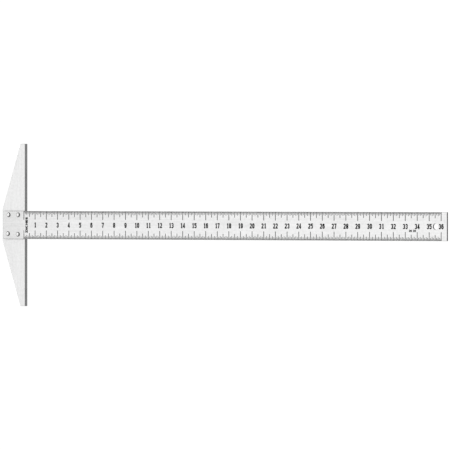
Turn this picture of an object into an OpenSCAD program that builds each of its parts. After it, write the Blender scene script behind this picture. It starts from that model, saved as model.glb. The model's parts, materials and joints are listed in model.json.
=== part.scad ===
// Drafting T-square: a flat graduated blade riveted across a tapered head plate.
//
// +X runs along the blade, away from the head's working edge.
// +Y runs across the blade, and +Z points out of its graduated face.
// The origin is on the working edge, in the middle of the blade's width,
// at the underside of the blade, where the blade lies on the head.

/* [Blade] */
// Last inch mark of the scale, counted from the working edge
scale_inches = 36; // [12:1:48]
// Width of the blade across its two ruled edges
blade_w = 50.8; // [40:0.1:65]
// Thickness of the blade
blade_t = 3.2; // [1.5:0.1:4]
// Plain end of the blade past the last inch mark
blade_run_out = 12.4; // [8:0.1:40]
// Gap between the head's back edge and the blade's square end
blade_inset = 4; // [1:0.5:6]

/* [Hanging hole] */
// Diameter of the hanging hole
hanging_hole_d = 11.1; // [5:0.1:16]
// Distance of the hole's centre from the blade's free end
hanging_hole_setback = 24.3; // [12:0.1:60]

/* [Head] */
// Length of the head, across the blade
head_l = 296; // [200:1:400]
// Depth of the head, along the blade
head_depth = 50.8; // [48:0.1:60]
// Thickness of the head plate
head_t = 7.5; // [4:0.1:10]
// Depth left at each tip, where the tapers end
head_tip_depth = 10; // [6:0.5:20]
// Length of the straight back edge, between the two tapers
head_back_l = 57; // [52:1:70]

/* [Rivets] */
// Diameter of the shank and of the holes that it fills
rivet_shank_d = 4.8; // [3:0.1:6]
// Diameter of the domed head
rivet_dome_d = 8.5; // [7:0.1:10]
// Height of the domed head over the blade
rivet_dome_h = 2.8; // [1.2:0.1:3.5]
// Diameter of the tail where it is flush with the underside of the head
rivet_tail_d = 7.2; // [6.2:0.1:9]
// Depth of the countersink that the tail fills
rivet_tail_h = 1.6; // [0.8:0.1:2.5]

/* [Hidden] */

$fn = 96;

inch = 25.4;
// Overshoot of a cutting tool past the faces that it cuts
cut_over = 1;

blade_start_x = blade_inset - head_depth;
blade_end_x = scale_inches * inch + blade_run_out;
hanging_hole_x = blade_end_x - hanging_hole_setback;

// Centre of each rivet along X and Y. The holes were drilled by eye,
// so the four don't make an exact rectangle.
front_upper = [-13.2, 18.5];
back_upper = [-34.8, 18.5];
front_lower = [-13.8, -17];
back_lower = [-36.3, -16];
rivet_places = [front_upper, back_upper, front_lower, back_lower];

// Corners of the head's upper half, from the working edge round to the back,
// and the same corners mirrored for its lower half
head_upper_corners = [
    [0, head_l / 2],
    [-head_tip_depth, head_l / 2],
    [-head_depth, head_back_l / 2]
];
head_lower_corners = [
    for (i = [len(head_upper_corners) - 1 : -1 : 0])
        [head_upper_corners[i].x, -head_upper_corners[i].y]
];

// Radius of the sphere whose cap is the rivet's dome
dome_sphere_r = (pow(rivet_dome_d / 2, 2) + pow(rivet_dome_h, 2)) / (2 * rivet_dome_h);

// Shank and flared tail of one rivet, from the underside of the head up to height top_z
module rivet_shank(top_z) {
    translate([0, 0, -head_t])
        cylinder(h = head_t + top_z, d = rivet_shank_d);
    translate([0, 0, -head_t])
        cylinder(h = rivet_tail_h, d1 = rivet_tail_d, d2 = rivet_shank_d);
}

// Everything that drilling and countersinking for one rivet takes out of head and blade
module rivet_drilling() {
    rivet_shank(blade_t + cut_over);
    translate([0, 0, -head_t - cut_over])
        cylinder(h = cut_over, d = rivet_tail_d);
}

// Tapered plate that slides along the drawing board's edge
module head() {
    color("gainsboro")
    difference() {
        translate([0, 0, -head_t])
            linear_extrude(height = head_t)
                polygon(concat(head_upper_corners, head_lower_corners));
        for (place = rivet_places)
            translate([place.x, place.y, 0])
                rivet_drilling();
    }
}

// Flat graduated blade, square at both ends, with its hanging hole
module blade() {
    color("whitesmoke")
    difference() {
        translate([blade_start_x, -blade_w / 2, 0])
            cube([blade_end_x - blade_start_x, blade_w, blade_t]);
        translate([hanging_hole_x, 0, -cut_over])
            cylinder(h = blade_t + 2 * cut_over, d = hanging_hole_d);
        for (place = rivet_places)
            translate([place.x, place.y, 0])
                rivet_drilling();
    }
}

// Domed rivet with its shank and its tail, which is hammered flush into the countersink
module rivet(place) {
    color("silver")
    translate([place.x, place.y, 0]) {
        rivet_shank(blade_t);
        translate([0, 0, blade_t])
            intersection() {
                translate([0, 0, rivet_dome_h - dome_sphere_r])
                    sphere(r = dome_sphere_r);
                cylinder(h = rivet_dome_h + cut_over, d = rivet_dome_d);
            }
    }
}

head();
blade();
rivet(front_upper);  // rivet_front_upper
rivet(back_upper);  // rivet_back_upper
rivet(front_lower);  // rivet_front_lower
rivet(back_lower);  // rivet_back_lower
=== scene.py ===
import json
import math

import bpy
from mathutils import Matrix, Vector


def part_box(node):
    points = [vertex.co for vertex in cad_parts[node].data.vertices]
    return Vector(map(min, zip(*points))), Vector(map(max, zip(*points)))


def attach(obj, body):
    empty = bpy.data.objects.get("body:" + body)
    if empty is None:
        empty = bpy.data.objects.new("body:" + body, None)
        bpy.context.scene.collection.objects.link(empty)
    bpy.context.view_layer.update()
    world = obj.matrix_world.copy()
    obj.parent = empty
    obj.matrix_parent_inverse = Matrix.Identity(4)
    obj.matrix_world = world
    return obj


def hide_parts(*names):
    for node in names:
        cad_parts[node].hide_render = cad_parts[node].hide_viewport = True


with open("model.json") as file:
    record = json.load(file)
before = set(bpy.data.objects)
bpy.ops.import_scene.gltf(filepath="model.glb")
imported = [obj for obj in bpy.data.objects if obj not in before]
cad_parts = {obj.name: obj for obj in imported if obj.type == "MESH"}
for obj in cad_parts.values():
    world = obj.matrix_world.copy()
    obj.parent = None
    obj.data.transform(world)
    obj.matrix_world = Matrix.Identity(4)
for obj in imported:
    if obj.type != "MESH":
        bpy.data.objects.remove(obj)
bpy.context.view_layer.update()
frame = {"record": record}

# ---------------------------------------------------------------------------------------------
# Head: a plate of half-hard aluminium, sawn to its taper and milled square along the working
# edge. Its two faces are belt-brushed from tip to tip. The cut edges and their filed corners are
# painted dark grey: painted shade, for the shade on walls that face away from the light. Four
# holes take the rivets, countersunk underneath.

MM = 0.001
head_low, head_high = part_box("head")
head_tip_depth = 10 * MM
head_back_length = 57 * MM
head_filed_corner = 0.35 * MM
rivet_hole_radius = 2.45 * MM
rivet_countersink = (1.2 * MM, 1.6 * MM)
deburred_mouth = (0.1 * MM, 0.1 * MM)
turned_sides = 64
turned_seam = 0.005 * MM
flat_face_tilt = 0.97
plate_smoothing = math.radians(15)
scratch_directions = {27: 2600, -61: 3400}


def select_only(*pieces):
    """Selects these pieces and nothing else, and makes the first of them the active one."""
    bpy.ops.object.select_all(action="DESELECT")
    for piece in pieces:
        piece.select_set(True)
    bpy.context.view_layer.objects.active = pieces[0]


def block(name, low, high):
    """A square block of stock at a plate's size and place."""
    bpy.ops.object.select_all(action="DESELECT")
    bpy.ops.mesh.primitive_cube_add(size=1, location=(low + high) / 2, scale=high - low)
    bpy.ops.object.transform_apply(location=True, rotation=True, scale=True)
    bpy.context.object.name = name
    return bpy.context.object


def turned(name, outline):
    """A solid of revolution about Z, from an outline of radii and heights between its poles."""
    mesh = bpy.data.meshes.new(name)
    steps = [(i, i + 1) for i in range(len(outline) - 1)]
    mesh.from_pydata([(radius, 0, height) for radius, height in outline], steps, [])
    piece = bpy.data.objects.new(name, mesh)
    bpy.context.scene.collection.objects.link(piece)
    select_only(piece)
    bpy.ops.object.mode_set(mode="EDIT")
    bpy.ops.mesh.select_all(action="SELECT")
    bpy.ops.mesh.spin(steps=turned_sides, angle=2 * math.pi, center=(0, 0, 0), axis=(0, 0, 1))
    bpy.ops.mesh.select_all(action="SELECT")
    bpy.ops.mesh.remove_doubles(threshold=turned_seam)
    bpy.ops.mesh.normals_make_consistent(inside=False)
    bpy.ops.object.mode_set(mode="OBJECT")
    return piece


def file_corners(plate, width):
    """Breaks every sharp corner of a plate."""
    bpy.context.view_layer.objects.active = plate
    bpy.ops.object.mode_set(mode="EDIT")
    bpy.ops.mesh.select_all(action="SELECT")
    bpy.ops.mesh.bevel(offset=width, segments=2)
    bpy.ops.object.mode_set(mode="OBJECT")


def combine(piece, other, operation):
    """Cuts the other shape out of a piece, or joins it on, and takes it out of the scene."""
    step = piece.modifiers.new("combine", "BOOLEAN")
    step.operation = operation
    step.solver = "EXACT"
    step.object = other
    bpy.context.view_layer.objects.active = piece
    bpy.ops.object.modifier_apply(modifier=step.name)
    bpy.data.objects.remove(other)


def drill(plate, x, y, radius, low, high, lower_mouth, upper_mouth):
    """Drills a hole between two faces. A mouth is how far it opens out, and from what depth."""
    past = 0.5  # how far the cutter runs on past each face, as a part of the mouth's depth
    lower_out, lower_depth = lower_mouth
    upper_out, upper_depth = upper_mouth
    outline = [
        (0, low - past * lower_depth),
        (radius + lower_out * (1 + past), low - past * lower_depth),
        (radius, low + lower_depth),
        (radius, high - upper_depth),
        (radius + upper_out * (1 + past), high + past * upper_depth),
        (0, high + past * upper_depth),
    ]
    cutter = turned("cutter", outline)
    cutter.data.transform(Matrix.Translation((x, y, 0)))
    combine(plate, cutter, "DIFFERENCE")


def split_faces_and_edges(plate, face_finish, painted_shade_finish):
    """Gives the flat faces one finish, and the cut edges and their filed corners another, which
    carries painted shade.
    """
    plate.data.materials.clear()
    plate.data.materials.append(face_finish)
    plate.data.materials.append(painted_shade_finish)
    for polygon in plate.data.polygons:
        polygon.material_index = 1 if abs(polygon.normal.z) < flat_face_tilt else 0
    select_only(plate)
    bpy.ops.object.shade_smooth_by_angle(angle=plate_smoothing)


def noise(tree, place, scale, detail, stretch):
    """Noise on Object coordinates, stretched so that it runs in lines."""
    mapping = tree.nodes.new("ShaderNodeMapping")
    mapping.inputs["Scale"].default_value = stretch
    texture = tree.nodes.new("ShaderNodeTexNoise")
    texture.inputs["Scale"].default_value = scale
    texture.inputs["Detail"].default_value = detail
    tree.links.new(place, mapping.inputs["Vector"])
    tree.links.new(mapping.outputs["Vector"], texture.inputs["Vector"])
    return texture.outputs["Fac"]


def spread(tree, value, low, high, edge_low=0.3, edge_high=0.7):
    """Turns a noise's middle range into a range of some other value."""
    node = tree.nodes.new("ShaderNodeMapRange")
    node.inputs["From Min"].default_value = edge_low
    node.inputs["From Max"].default_value = edge_high
    node.inputs["To Min"].default_value = low
    node.inputs["To Max"].default_value = high
    tree.links.new(value, node.inputs["Value"])
    return node.outputs["Result"]


def times(tree, one, other):
    """Multiplies two values."""
    node = tree.nodes.new("ShaderNodeMath")
    node.operation = "MULTIPLY"
    tree.links.new(one, node.inputs[0])
    tree.links.new(other, node.inputs[1])
    return node.outputs["Value"]


def bump(tree, shader, height, depth):
    """Raises a shader's surface by a pattern, up to a depth."""
    node = tree.nodes.new("ShaderNodeBump")
    node.inputs["Strength"].default_value = 1
    node.inputs["Distance"].default_value = depth
    tree.links.new(height, node.inputs["Height"])
    tree.links.new(node.outputs["Normal"], shader.inputs["Normal"])


def grey(tree, value):
    """Turns a value into a grey of that brightness."""
    node = tree.nodes.new("ShaderNodeCombineColor")
    for channel in ("Red", "Green", "Blue"):
        tree.links.new(value, node.inputs[channel])
    return node.outputs["Color"]


def new_finish(name, metallic):
    """An empty finish: its node tree, its shader and the place that its patterns read."""
    finish = bpy.data.materials.new(name)
    finish.use_nodes = True
    shader = finish.node_tree.nodes["Principled BSDF"]
    shader.inputs["Metallic"].default_value = metallic
    place = finish.node_tree.nodes.new("ShaderNodeTexCoord").outputs["Object"]
    return finish, finish.node_tree, shader, place


def along(tree, place, axis):
    """How far along one axis a place is."""
    node = tree.nodes.new("ShaderNodeSeparateXYZ")
    tree.links.new(place, node.inputs["Vector"])
    return node.outputs[axis]


def slanted(tree, place, angle):
    """The same places turned about Z, for marks that run across the brushing."""
    node = tree.nodes.new("ShaderNodeVectorRotate")
    node.rotation_type = "Z_AXIS"
    node.inputs["Angle"].default_value = math.radians(angle)
    tree.links.new(place, node.inputs["Vector"])
    return node.outputs["Vector"]


def brushed_aluminium(name, lines, patches, tone, roughness, darker_stretches):
    """Aluminium brushed in one direction: fine lines, broader streaks, a mottle and scratches.

    The scratches run in two directions, in degrees off X, each with its own fineness. Each darker
    stretch is a tone, then the two places along X between which it brightens back to full.
    """
    finish, tree, shader, place = new_finish(name, metallic=0.92)
    fine = noise(tree, place, 1.0, 3, lines)
    streak = noise(tree, place, 0.13, 2, lines)
    patch = noise(tree, place, 1.0, 2, patches)
    mottle = noise(tree, place, 230.0, 3, (1, 1, 1))
    light = times(tree, spread(tree, fine, 0.94, 1.06), spread(tree, streak, 0.97, 1.03))
    light = times(tree, light, spread(tree, mottle, 0.96, 1.04))
    light = times(tree, light, spread(tree, patch, tone * 0.98, tone * 1.02))
    for angle, fineness in scratch_directions.items():
        scratch = noise(tree, slanted(tree, place, angle), 1.0, 1, (fineness, 45, fineness))
        light = times(tree, light, spread(tree, scratch, 1.0, 0.88, 0.7, 0.78))
    for darker_tone, darker_x, clear_x in darker_stretches:
        darkening = spread(tree, along(tree, place, "X"), darker_tone, 1.0, darker_x, clear_x)
        light = times(tree, light, darkening)
    tree.links.new(grey(tree, light), shader.inputs["Base Color"])
    tree.links.new(spread(tree, streak, *roughness), shader.inputs["Roughness"])
    bump(tree, shader, fine, 0.004 * MM)
    return finish


def sawn_edge(name, lines, tone):
    """A cut edge with the cutter's marks across it. Its dark grey tone is painted shade, for walls
    turned from the light.
    """
    finish, tree, shader, place = new_finish(name, metallic=0.55)
    marks = noise(tree, place, 1.0, 2, lines)
    stain = noise(tree, place, 60.0, 3, (1, 1, 1))
    light = times(tree, spread(tree, marks, 0.86, 1.14), spread(tree, stain, tone * 0.9, tone * 1.1))
    tree.links.new(grey(tree, light), shader.inputs["Base Color"])
    tree.links.new(spread(tree, marks, 0.42, 0.58), shader.inputs["Roughness"])
    bump(tree, shader, marks, 0.01 * MM)
    return finish


head = block("head_plate", head_low, head_high)
bpy.ops.object.mode_set(mode="EDIT")
for side in (1, -1):
    tip = Vector((head_high.x - head_tip_depth, side * head_high.y, 0))
    back = Vector((head_low.x, side * head_back_length / 2, 0))
    outward = Vector((back.y - tip.y, tip.x - back.x, 0)) * side
    bpy.ops.mesh.select_all(action="SELECT")
    bpy.ops.mesh.bisect(plane_co=tip, plane_no=outward, use_fill=True, clear_outer=True)
bpy.ops.object.mode_set(mode="OBJECT")
file_corners(head, head_filed_corner)

rivet_nodes = ["rivet_front_upper", "rivet_back_upper", "rivet_front_lower", "rivet_back_lower"]
rivet_places = []
for node in rivet_nodes:
    low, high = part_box(node)
    rivet_places.append((low + high) / 2)
for place in rivet_places:
    drill(
        head, place.x, place.y, rivet_hole_radius, head_low.z, head_high.z,
        rivet_countersink, deburred_mouth,
    )

head_face = brushed_aluminium(
    "head_brushed_face", lines=(1400, 22, 1400), patches=(40, 9, 40), tone=0.75,
    roughness=(0.4, 0.44), darker_stretches=[],
)
# The head's cut edges are painted shade: tone 0.2 darkens the walls as shade would.
head_painted_shade = sawn_edge("head_cut_side_painted_shade", lines=(900, 900, 25), tone=0.2)
split_faces_and_edges(head, head_face, head_painted_shade)
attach(head, "root")
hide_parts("head")

# ---------------------------------------------------------------------------------------------
# Blade: a rule sheared from flat aluminium sheet and ground straight on both long edges. It is
# brushed along its length and clear anodised. It lies on the head and is riveted down, and a
# hole near its free end hangs it up.

blade_low, blade_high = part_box("blade")
blade_filed_corner = 0.35 * MM
hanging_hole = frame["record"]["mounts"][-1]
hanging_hole_x, hanging_hole_y, _ = hanging_hole["pos_m"]
hanging_hole_radius = hanging_hole["dims"]["r_mm"] * MM
hanging_hole_mouth = (0.2 * MM, 0.2 * MM)

blade = block("blade_plate", blade_low, blade_high)
file_corners(blade, blade_filed_corner)
for place in rivet_places:
    drill(
        blade, place.x, place.y, rivet_hole_radius, blade_low.z, blade_high.z,
        deburred_mouth, deburred_mouth,
    )
drill(
    blade, hanging_hole_x, hanging_hole_y, hanging_hole_radius, blade_low.z, blade_high.z,
    hanging_hole_mouth, hanging_hole_mouth,
)

# The blade's face is a few percent darker at and near the head end, and brightens towards the free
# end.
blade_face = brushed_aluminium(
    "blade_brushed_face", lines=(22, 1400, 1400), patches=(14, 45, 45), tone=0.77,
    roughness=(0.41, 0.45), darker_stretches=[(0.945, -20 * MM, 20 * MM), (0.95, 0, 600 * MM)],
)
# The blade's ground edges, filed corners and hole walls are painted shade: tone 0.07 darkens them as
# shade would.
blade_painted_shade = sawn_edge("blade_ground_side_painted_shade", lines=(500, 500, 30), tone=0.07)
split_faces_and_edges(blade, blade_face, blade_painted_shade)
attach(blade, "root")
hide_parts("blade")

# ---------------------------------------------------------------------------------------------
# Rivets: soft aluminium, pushed down through blade and head, with a low domed head on top. The
# tail is hammered into the countersink under the head and ends flush, a little dished.

dome_base = blade_high.z
dome_low, dome_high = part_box("rivet_front_upper")
dome_radius = (dome_high.x - dome_low.x) / 2
dome_height = dome_high.z - dome_base
dome_sphere = (dome_radius ** 2 + dome_height ** 2) / (2 * dome_height)
dome_rim_angle = math.asin(dome_radius / dome_sphere)
shank_radius = 2.4 * MM
tail_radius = 3.6 * MM
tail_height = 1.6 * MM
tail_dish = 0.12 * MM
rim_corner = 0.06 * MM
rim_top = 0.15 * MM
seat_corner = 0.05 * MM
tail_bulge = 0.08 * MM
tail_bulge_height = 0.1 * MM
tail_corner = 0.15 * MM
dome_rings = 12
rivet_smoothing = math.radians(40)

dome_angles = [dome_rim_angle * ring / dome_rings for ring in range(dome_rings)]
rivet_outline = [
    (dome_sphere * math.sin(angle), dome_high.z - dome_sphere * (1 - math.cos(angle)))
    for angle in dome_angles
]
rivet_outline += [
    (dome_radius - rim_corner, dome_base + rim_top),
    (dome_radius, dome_base + rim_corner),
    (dome_radius - seat_corner, dome_base),
    (shank_radius, dome_base),
    (shank_radius, head_low.z + tail_height),
    (tail_radius - tail_bulge, head_low.z + tail_bulge_height),
    (tail_radius - tail_corner, head_low.z),
    (tail_radius * 0.72, head_low.z + tail_dish * 0.3),
    (tail_radius * 0.4, head_low.z + tail_dish),
    (0, head_low.z + tail_dish),
]


def hammered_aluminium(name, low_tone, high_tone, low, high):
    """Aluminium struck with a set: its tone and gloss run from one value low down to another high up,
    with dents and grain.
    """
    finish, tree, shader, place = new_finish(name, metallic=0.95)
    dents = noise(tree, place, 700.0, 2, (1, 1, 1))
    grain = noise(tree, place, 2600.0, 3, (1, 1, 1))
    height = along(tree, place, "Z")
    tone = spread(tree, height, low_tone, high_tone, low, high)
    light = times(tree, tone, spread(tree, grain, 0.93, 1.0))
    tree.links.new(grey(tree, light), shader.inputs["Base Color"])
    gloss = spread(tree, height, 0.5, 0.22, low, high)
    tree.links.new(times(tree, gloss, spread(tree, grain, 0.8, 1.0)), shader.inputs["Roughness"])
    bump(tree, shader, dents, 0.05 * MM)
    return finish


# The dome's lower rim is painted shade: near black low down, light on top, for the dome's shaded side
# and its shadow on the blade.
dome_painted_shade = hammered_aluminium(
    "rivet_dome_painted_rim_shade", low_tone=0.06, high_tone=0.82,
    low=dome_base + 1.0 * MM, high=dome_base + 2.2 * MM,
)
tail_finish = hammered_aluminium(
    "rivet_hammered_tail", low_tone=0.66, high_tone=0.5,
    low=head_low.z + tail_dish * 0.3, high=head_low.z + tail_dish,
)

set_rivet = turned("set_rivet", rivet_outline)
set_rivet.data.materials.append(dome_painted_shade)
set_rivet.data.materials.append(tail_finish)
for polygon in set_rivet.data.polygons:
    polygon.material_index = 1 if polygon.center.z < blade_low.z else 0
bpy.ops.object.shade_smooth_by_angle(angle=rivet_smoothing)
for node, place in zip(rivet_nodes, rivet_places):
    rivet = set_rivet.copy()
    rivet.data = set_rivet.data.copy()
    rivet.name = node + "_set"
    rivet.data.transform(Matrix.Translation((place.x, place.y, 0)))
    bpy.context.scene.collection.objects.link(rivet)
    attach(rivet, "root")
    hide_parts(node)
bpy.data.objects.remove(set_rivet)

# ---------------------------------------------------------------------------------------------
# Graduations: black ink, screen-printed on the anodised face along both long edges. Each inch
# is divided into sixteenths, and the marks get shorter and finer with each halving.

INCH = 0.0254
scale_inches = 36
ink_top = blade_high.z + 0.035 * MM
ink_bottom = blade_high.z - 0.02 * MM
mark_corner = 0.1 * MM

# Each kind of mark: its first place and its pitch in inches, how many, its length and width.
marks = {
    "inch_marks": (0, 1, scale_inches + 1, 15.2 * MM, 1.3 * MM),
    "half_inch_marks": (1 / 2, 1, scale_inches, 10.4 * MM, 1.25 * MM),
    "quarter_inch_marks": (1 / 4, 1 / 2, 2 * scale_inches, 6.6 * MM, 1.15 * MM),
    "eighth_inch_marks": (1 / 8, 1 / 4, 4 * scale_inches, 5.4 * MM, 1.05 * MM),
    "sixteenth_inch_marks": (1 / 16, 1 / 8, 8 * scale_inches, 2.6 * MM, 0.82 * MM),
}

ink, tree, shader, place = new_finish("printed_black_ink", metallic=0.0)
wear = noise(tree, place, 320.0, 4, (1, 1, 1))
speckle = noise(tree, place, 3000.0, 2, (1, 1, 1))
tree.links.new(grey(tree, spread(tree, wear, 0.004, 0.012)), shader.inputs["Base Color"])
tree.links.new(spread(tree, speckle, 0.5, 0.65), shader.inputs["Roughness"])
shader.inputs["Specular IOR Level"].default_value = 0.15
bump(tree, shader, speckle, 0.003 * MM)


def finish_print(piece):
    """Inks a printed piece and fixes it to the blade."""
    piece.data.materials.clear()
    piece.data.materials.append(ink)
    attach(piece, "root")


def mark_row(name, side, first, pitch, count, length, width):
    """A row of marks along one long edge, each a bar of ink with rounded corners."""
    outer = side * (blade_high.y - blade_filed_corner)
    inner = outer - side * length
    x = first * INCH
    low = Vector((x - width / 2, min(outer, inner), ink_bottom))
    high = Vector((x + width / 2, max(outer, inner), ink_top))
    row = block(name, low, high)
    bpy.ops.object.mode_set(mode="EDIT")
    bpy.ops.mesh.select_all(action="DESELECT")
    bpy.ops.object.mode_set(mode="OBJECT")
    for edge in row.data.edges:
        one, other = (row.data.vertices[v].co for v in edge.vertices)
        edge.select = abs(one.z - other.z) > (ink_top - ink_bottom) / 2
    bpy.ops.object.mode_set(mode="EDIT")
    bpy.ops.mesh.select_mode(type="EDGE")
    bpy.ops.mesh.bevel(offset=mark_corner, segments=2)
    bpy.ops.object.mode_set(mode="OBJECT")
    repeat = row.modifiers.new("repeat", "ARRAY")
    repeat.count = count
    repeat.use_relative_offset = False
    repeat.use_constant_offset = True
    repeat.constant_offset_displace = (pitch * INCH, 0, 0)
    bpy.ops.object.modifier_apply(modifier=repeat.name)
    return row


for name, layout in marks.items():
    rows = [mark_row(name + "_row", side, *layout) for side in (1, -1)]
    select_only(*rows)
    bpy.ops.object.join()
    rows[0].name = name
    finish_print(rows[0])

# ---------------------------------------------------------------------------------------------
# Numbers: the same black ink, in heavy narrow figures of one line width, as a pantograph cutter
# draws them. They stand upright along the middle of the blade, each centred on its inch mark.

figure_height = 9.5 * MM
figure_width = 4.95 * MM
figure_line = 2.15 * MM
figure_pitch = 5.55 * MM
bend_step = 15


def bend(x, y, radius, start, end):
    """Points along an arc, from one angle to another in degrees."""
    steps = max(2, round(abs(end - start) / bend_step))
    turns = [math.radians(start + (end - start) * step / steps) for step in range(steps + 1)]
    return [(x + radius * math.cos(turn), y + radius * math.sin(turn)) for turn in turns]


def draw_stroke(path, closed, line):
    """One stroke of ink: its path is raised to the ink's thickness and widened to its line."""
    turns = path[:1]
    for point in path[1:]:
        if math.dist(point, turns[-1]) > line / 20:
            turns.append(point)
    edges = [(i, i + 1) for i in range(len(turns) - 1)]
    if closed:
        edges.append((len(turns) - 1, 0))
    mesh = bpy.data.meshes.new("stroke")
    mesh.from_pydata([(x, y, ink_bottom) for x, y in turns], edges, [])
    stroke = bpy.data.objects.new("stroke", mesh)
    bpy.context.scene.collection.objects.link(stroke)
    select_only(stroke)
    bpy.ops.object.mode_set(mode="EDIT")
    bpy.ops.mesh.select_all(action="SELECT")
    bpy.ops.mesh.extrude_edges_move(
        TRANSFORM_OT_translate={"value": (0, 0, ink_top - ink_bottom)}
    )
    bpy.ops.object.mode_set(mode="OBJECT")
    widen = stroke.modifiers.new("widen", "SOLIDIFY")
    widen.thickness = line
    widen.offset = 0
    widen.use_even_offset = True
    bpy.ops.object.modifier_apply(modifier=widen.name)
    bpy.ops.object.mode_set(mode="EDIT")
    bpy.ops.mesh.select_all(action="SELECT")
    bpy.ops.mesh.normals_make_consistent(inside=False)
    bpy.ops.object.mode_set(mode="OBJECT")
    return stroke


def cut_type(characters, width, height, line):
    """Draws one master of each character, centred on the frame's origin."""
    right = (width - line) / 2
    top = (height - line) / 2
    corner = min(right, top / 2)
    shoulder = top - corner
    bowl_top = 0.12 * height
    crossbar = -0.22 * height
    one_stem = 0.4 * right
    one_flag = 0.58 * top
    foot = 0.32 * width
    two_neck = (0.9 * right, 0.08 * height)
    three_waist = (-0.35 * right, 0)
    four_stem = 0.45 * right
    seven_foot = (-0.3 * right, -height / 2)

    def turn(y, start, end):
        """A rounded stretch of centre line, in quarter turns with any straight between them."""
        quarter = math.copysign(90, end - start)
        line_points = []
        for angle in range(start, end, round(quarter)):
            side = math.copysign(right - corner, math.cos(math.radians(angle + quarter / 2)))
            line_points += bend(side, y, corner, angle, angle + quarter)
        return line_points

    left_stem = [(-right, -height / 2), (-right, height / 2)]
    right_stem = [(right, -height / 2), (right, height / 2)]
    top_bar = [(-width / 2, top), (width / 2, top)]
    foot_bar = [(-width / 2, -top), (width / 2, -top)]
    middle_bar = [(-right, 0), (right, 0)]
    six_hook = turn(shoulder, 0, 180) + [(-right, -shoulder)]
    six_loop = turn(bowl_top - corner, 0, 180) + turn(-shoulder, 180, 360)
    open_strokes = {
        "1": [
            [(one_stem, -top), (one_stem, height / 2)],
            [(one_stem - foot, -top), (one_stem + foot, -top)],
            [(one_stem - foot, one_flag), (one_stem, top)],
        ],
        "2": [turn(shoulder, 180, 0) + [two_neck, (-right, -top)], foot_bar],
        "3": [
            turn(shoulder, 180, 0) + turn(corner, 0, -90) + [three_waist],
            turn(-corner, 90, 0) + turn(-shoulder, 0, -180),
        ],
        "4": [
            [(four_stem, -height / 2), (four_stem, height / 2)],
            [(four_stem, top), (-right, crossbar)],
            [(-width / 2, crossbar), (width / 2, crossbar)],
        ],
        "5": [
            [(width / 2, top), (-right, top), (-right, bowl_top - line / 2)],
            [(-right, bowl_top)] + turn(bowl_top - corner, 90, 0) + turn(-shoulder, 0, -180),
        ],
        "6": [six_hook],
        "7": [[(-width / 2, top), (right, top), seven_foot]],
        "9": [[(-x, -y) for x, y in six_hook]],
        "C": [[(right, top)] + turn(shoulder, 90, 180) + turn(-shoulder, 180, 270) + [(right, -top)]],
        "E": [left_stem, top_bar, foot_bar, middle_bar],
        "H": [left_stem, right_stem, middle_bar],
        "I": [[(0, -height / 2), (0, height / 2)], top_bar, foot_bar],
        "N": [left_stem, right_stem, [(-right, top), (right, -top)]],
        "S": [
            [(right, top)] + turn(shoulder, 90, 180) + turn(corner, 180, 270)
            + turn(-corner, 90, 0) + turn(-shoulder, 0, -90) + [(-right, -top)],
        ],
    }
    closed_strokes = {
        "0": [turn(shoulder, 0, 180) + turn(-shoulder, 180, 360)],
        "6": [six_loop],
        "8": [
            turn(shoulder, 0, 180) + turn(corner, 180, 360),
            turn(-corner, 0, 180) + turn(-shoulder, 180, 360),
        ],
        "9": [[(-x, -y) for x, y in six_loop]],
    }
    masters = {}
    for character in sorted(set(characters)):
        strokes = [draw_stroke(path, False, line) for path in open_strokes.get(character, [])]
        strokes += [draw_stroke(path, True, line) for path in closed_strokes.get(character, [])]
        for stroke in strokes[1:]:
            combine(strokes[0], stroke, "UNION")
        masters[character] = strokes[0]
    return masters


def print_word(name, word, masters, pitch, x, y, turn=0):
    """Prints a number or a word from its masters, centred at a place on the blade."""
    letters = []
    for index, character in enumerate(word):
        letter = masters[character].copy()
        letter.data = masters[character].data.copy()
        bpy.context.scene.collection.objects.link(letter)
        letter.data.transform(Matrix.Translation((pitch * (index - (len(word) - 1) / 2), 0, 0)))
        letters.append(letter)
    if len(letters) > 1:
        select_only(*letters)
        bpy.ops.object.join()
    letters[0].name = name
    letters[0].data.transform(Matrix.Translation((x, y, 0)) @ Matrix.Rotation(turn, 4, "Z"))
    finish_print(letters[0])


def clear_type(masters):
    """Takes the masters out of the scene."""
    for master in masters.values():
        bpy.data.objects.remove(master)


figure_type = cut_type("0123456789", figure_width, figure_height, figure_line)
for number in range(1, scale_inches + 1):
    print_word(f"number_{number:02d}", str(number), figure_type, figure_pitch, number * INCH, 0)
clear_type(figure_type)

# ---------------------------------------------------------------------------------------------
# Labels: words from the same cutter, in smaller sizes. The unit stands on end beside the zero
# marks, and the blade's nominal length stands below the numbers near the end of the scale.

unit_height = 5.2 * MM
unit_width = 4.7 * MM
unit_line = 1.65 * MM
unit_pitch = 4.85 * MM
unit_x = 0.24 * INCH

length_height = 4.0 * MM
length_width = 3.0 * MM
length_line = 1.2 * MM
length_pitch = 3.3 * MM
length_y = -7.7 * MM
length_words = {"number": ("36", 33.43 * INCH), "unit": ("IN", 33.76 * INCH)}

unit_type = cut_type("INCHES", unit_width, unit_height, unit_line)
print_word("unit_label", "INCHES", unit_type, unit_pitch, unit_x, 0, math.pi / 2)
clear_type(unit_type)

length_type = cut_type("36IN", length_width, length_height, length_line)
for name, (word, x) in length_words.items():
    print_word("length_label_" + name, word, length_type, length_pitch, x, length_y)
clear_type(length_type)

# ---------------------------------------------------------------------------------------------
# Studio: the square lies on lit white acrylic, a hair off level because it touches the head's
# lower corner and the blade's far end. The room is pale overhead, darker low down and darkest
# beyond the blade's free end. A soft lamp hangs high on the upper side.

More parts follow.
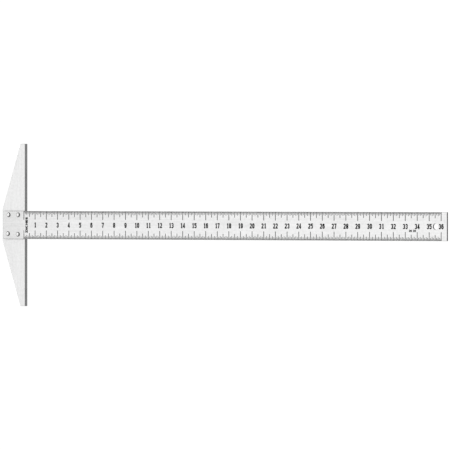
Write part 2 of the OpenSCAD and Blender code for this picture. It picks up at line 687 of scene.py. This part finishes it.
floor_size = 40.0
floor_glow = 0.94
dark_side = Vector((0.86, -0.45, 0.15)).normalized()
dark_side_light = 0.45
horizon_light = 0.45
overhead_light = 1.16
lamp_from = Vector((-0.25, 0.75, 0.6))
lamp_energy = 0.25
lamp_width = math.radians(30)
rest_slope = math.atan2(blade_low.z - head_low.z, blade_high.x)
bpy.ops.object.select_all(action="DESELECT")
bpy.ops.mesh.primitive_plane_add(size=floor_size)
floor = bpy.context.object
floor.name = "floor"
floor.data.transform(Matrix.Rotation(-rest_slope, 4, "Y"))
floor.data.transform(Matrix.Translation((0, 0, head_low.z)))
acrylic, tree, shader, place = new_finish("lit_acrylic", metallic=0.0)
shade = noise(tree, place, 2.0, 3, (1, 1, 1))
tree.links.new(grey(tree, spread(tree, shade, 0.11, 0.12)), shader.inputs["Base Color"])
shader.inputs["Roughness"].default_value = 0.9
shader.inputs["Specular IOR Level"].default_value = 0.1
shader.inputs["Emission Color"].default_value = (1, 1, 1, 1)
shader.inputs["Emission Strength"].default_value = floor_glow
floor.data.materials.append(acrylic)

room = bpy.data.worlds.new("studio_room")
room.use_nodes = True
tree = room.node_tree
direction = tree.nodes.new("ShaderNodeTexCoord").outputs["Generated"]
facing = tree.nodes.new("ShaderNodeVectorMath")
facing.operation = "DOT_PRODUCT"
facing.inputs[1].default_value = dark_side
tree.links.new(direction, facing.inputs[0])
height = along(tree, direction, "Z")
overhead = spread(tree, height, horizon_light, overhead_light, 0.0, 0.5)
away = spread(tree, facing.outputs["Value"], 1.0, dark_side_light, 0.4, 0.85)
tree.links.new(times(tree, overhead, away), tree.nodes["Background"].inputs["Strength"])
tree.nodes["Background"].inputs["Color"].default_value = (1, 1, 1, 1)
bpy.context.scene.world = room
bpy.context.scene.view_settings.view_transform = "Standard"

lamp = bpy.data.lights.new("soft_lamp", "SUN")
lamp.angle = lamp_width
lamp.energy = lamp_energy
lamp_stand = bpy.data.objects.new("soft_lamp", lamp)
lamp_stand.rotation_euler = lamp_from.to_track_quat("Z", "Y").to_euler()
bpy.context.scene.collection.objects.link(lamp_stand)

# ---------------------------------------------------------------------------------------------
# Camera: a long lens, about 15 m off and 35 degrees round to the blade's free end, so that
# the walls that face that way show. It is almost level across the blade.

camera_turn = math.radians(35.183)
camera_tilt = math.radians(-0.275)
camera_roll = math.radians(0.033)
camera_distance = 14.978
camera_lens = 668.2
camera_aim = Vector((17.578 * INCH, 0.055 * INCH, 0))

camera = bpy.data.objects.new("camera", bpy.data.cameras.new("camera"))
camera.data.sensor_width = 36
camera.data.lens = camera_lens
camera.data.clip_end = 100
camera.rotation_mode = "ZXY"
camera.rotation_euler = (camera_tilt, camera_turn, camera_roll)
bpy.context.scene.collection.objects.link(camera)
bpy.context.view_layer.update()
camera.location = camera_aim + camera.matrix_world.to_3x3() @ Vector((0, 0, camera_distance))
bpy.context.scene.camera = camera
